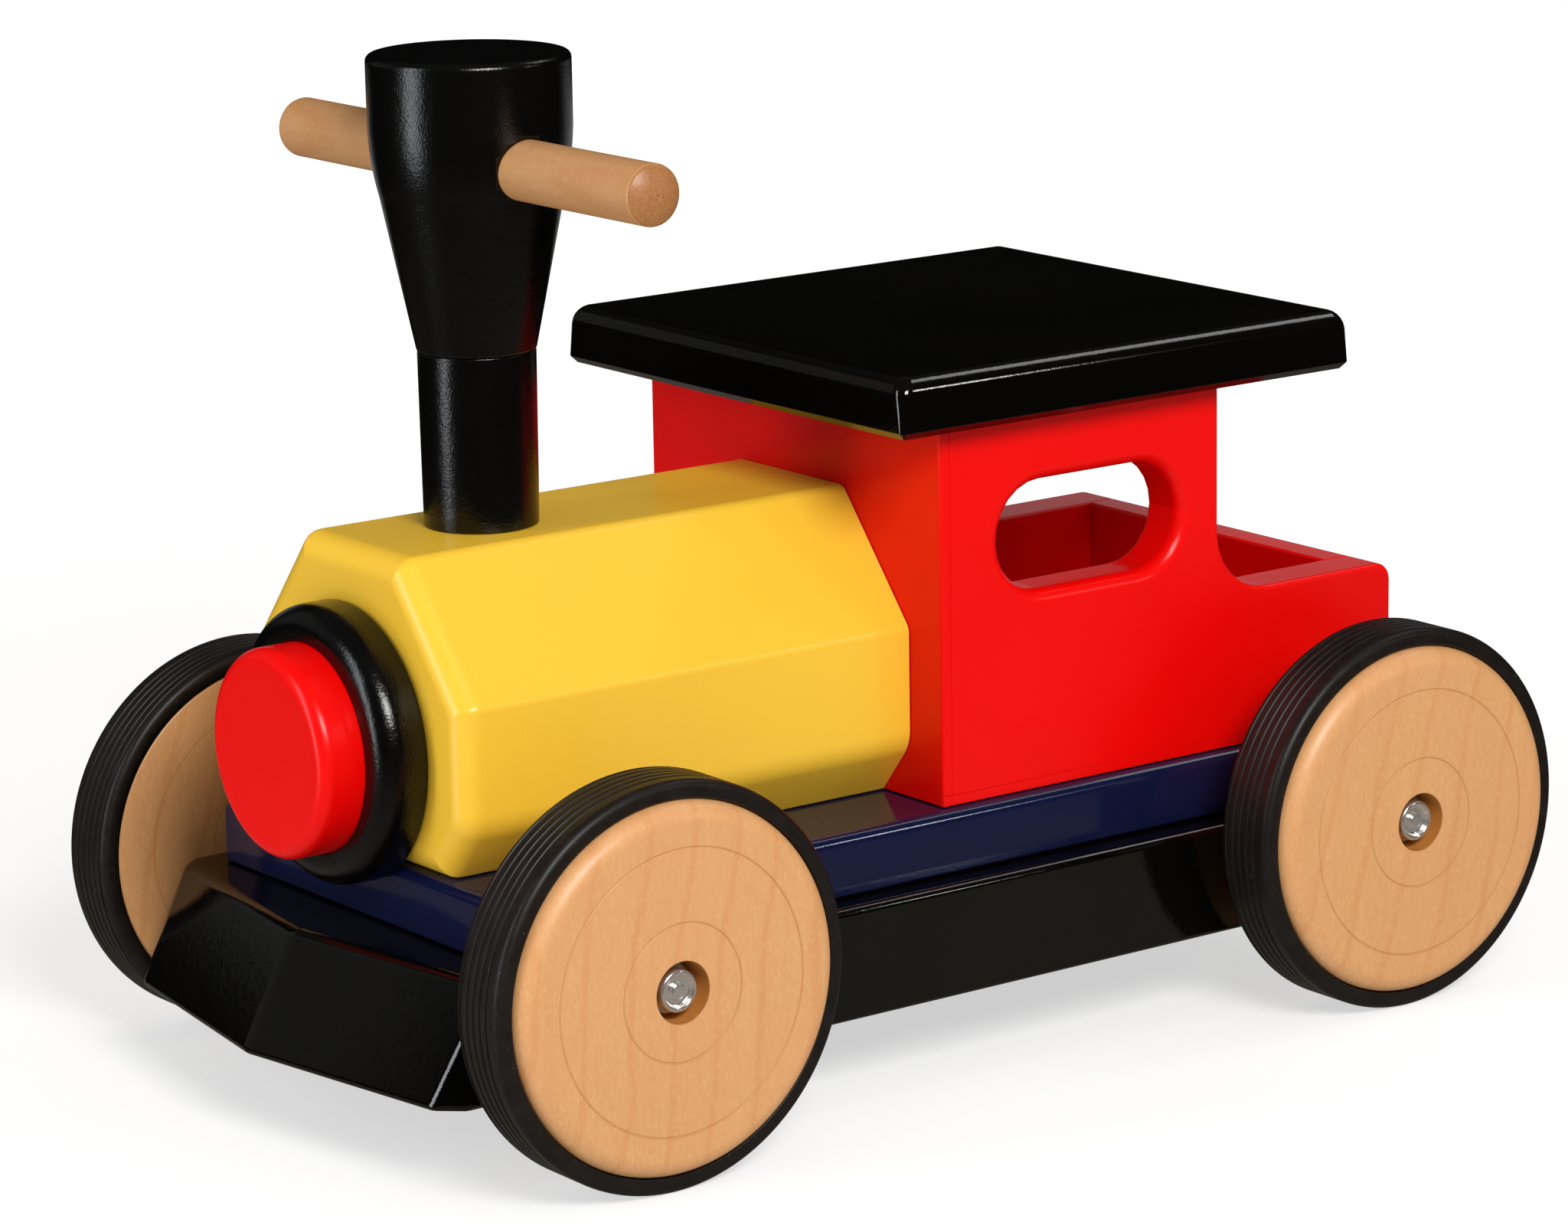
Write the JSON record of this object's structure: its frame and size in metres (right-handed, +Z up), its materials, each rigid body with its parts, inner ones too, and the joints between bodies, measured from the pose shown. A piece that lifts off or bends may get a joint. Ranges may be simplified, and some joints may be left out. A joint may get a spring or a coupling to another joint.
{
  "type": "ride-on toy locomotive",
  "caption": "Wooden push-along and ride-on toy steam locomotive with free-rolling rubber-tyred wheels, a chimney handlebar, a roof slab seat and an open bunker.",
  "frame": {"origin": "on the ground under the middle of the overall length and width, with the tyres standing on z = 0", "axes": "+X forward towards the round smokebox door and the cowcatcher, +Y to the locomotive's left side, +Z up; every axle runs along Y"},
  "size_m": [0.512, 0.304, 0.3885],
  "materials": {
    "black_lacquer": "high-gloss black lacquer over wood with faint orange peel",
    "red_lacquer": "satin-gloss bright red lacquer over wood",
    "yellow_lacquer": "satin-gloss warm yellow lacquer over wood",
    "navy_lacquer": "high-gloss navy lacquer over wood",
    "clear_maple": "clear-lacquered pale maple with fine grain",
    "bare_beech": "bare beech dowel",
    "rubber_tread": "matte black rubber with grooves round the tread",
    "chrome_cap": "bright chrome-plated pressed cap",
    "zinc_steel": "zinc-plated steel",
    "nylon_spacer": "black nylon bush"
  },
  "bodies": {
    "chassis": {"chassis_rail_left": "black_lacquer", "chassis_rail_right": "black_lacquer", "cowcatcher": "black_lacquer", "chassis_rear_block": "black_lacquer", "smokebox_ring": "black_lacquer", "chimney_stack": "black_lacquer", "chimney_head": "black_lacquer", "roof_seat": "black_lacquer", "smokebox_door": "red_lacquer", "cab_floor": "red_lacquer", "cab_front_panel": "red_lacquer", "cab_side_left": "red_lacquer", "cab_side_right": "red_lacquer", "bunker_rear_board": "red_lacquer", "boiler": "yellow_lacquer", "deck": "navy_lacquer", "handlebar": "clear_maple", "smokebox_dowel": "bare_beech", "chimney_dowel": "bare_beech", "roof_dowel_front_left": "bare_beech", "roof_dowel_front_right": "bare_beech", "roof_dowel_rear_left": "bare_beech", "roof_dowel_rear_right": "bare_beech", "axle_cap_front_left": "chrome_cap", "axle_cap_front_right": "chrome_cap", "axle_cap_rear_left": "chrome_cap", "axle_cap_rear_right": "chrome_cap", "front_axle": "zinc_steel", "rear_axle": "zinc_steel", "hub_washer_front_left": "zinc_steel", "hub_washer_front_right": "zinc_steel", "hub_washer_rear_left": "zinc_steel", "hub_washer_rear_right": "zinc_steel", "rail_screw_front_left": "zinc_steel", "rail_screw_front_right": "zinc_steel", "rail_screw_rear_left": "zinc_steel", "rail_screw_rear_right": "zinc_steel", "nose_screw_left": "zinc_steel", "nose_screw_right": "zinc_steel", "rear_block_screw_left": "zinc_steel", "rear_block_screw_right": "zinc_steel", "cab_screw_front_left": "zinc_steel", "cab_screw_front_right": "zinc_steel", "cab_screw_rear_left": "zinc_steel", "cab_screw_rear_right": "zinc_steel", "boiler_screw_front": "zinc_steel", "boiler_screw_rear": "zinc_steel", "wheel_spacer_front_left": "nylon_spacer", "wheel_spacer_front_right": "nylon_spacer", "wheel_spacer_rear_left": "nylon_spacer", "wheel_spacer_rear_right": "nylon_spacer"},
    "wheel_front_left": {"wheel_disc_front_left": "clear_maple", "tyre_front_left": "rubber_tread"},
    "wheel_front_right": {"wheel_disc_front_right": "clear_maple", "tyre_front_right": "rubber_tread"},
    "wheel_rear_left": {"wheel_disc_rear_left": "clear_maple", "tyre_rear_left": "rubber_tread"},
    "wheel_rear_right": {"wheel_disc_rear_right": "clear_maple", "tyre_rear_right": "rubber_tread"}
  },
  "joints": [
    {"name": "wheel_spin_front_left", "type": "hinge", "parent": "chassis", "child": "wheel_front_left", "pos_m": [0.169, 0.136, 0.075], "axis": [0, 1, 0], "continuous": true},
    {"name": "wheel_spin_front_right", "type": "hinge", "parent": "chassis", "child": "wheel_front_right", "pos_m": [0.169, -0.136, 0.075], "axis": [0, 1, 0], "continuous": true},
    {"name": "wheel_spin_rear_left", "type": "hinge", "parent": "chassis", "child": "wheel_rear_left", "pos_m": [-0.181, 0.136, 0.075], "axis": [0, 1, 0], "continuous": true},
    {"name": "wheel_spin_rear_right", "type": "hinge", "parent": "chassis", "child": "wheel_rear_right", "pos_m": [-0.181, -0.136, 0.075], "axis": [0, 1, 0], "continuous": true}
  ]
}
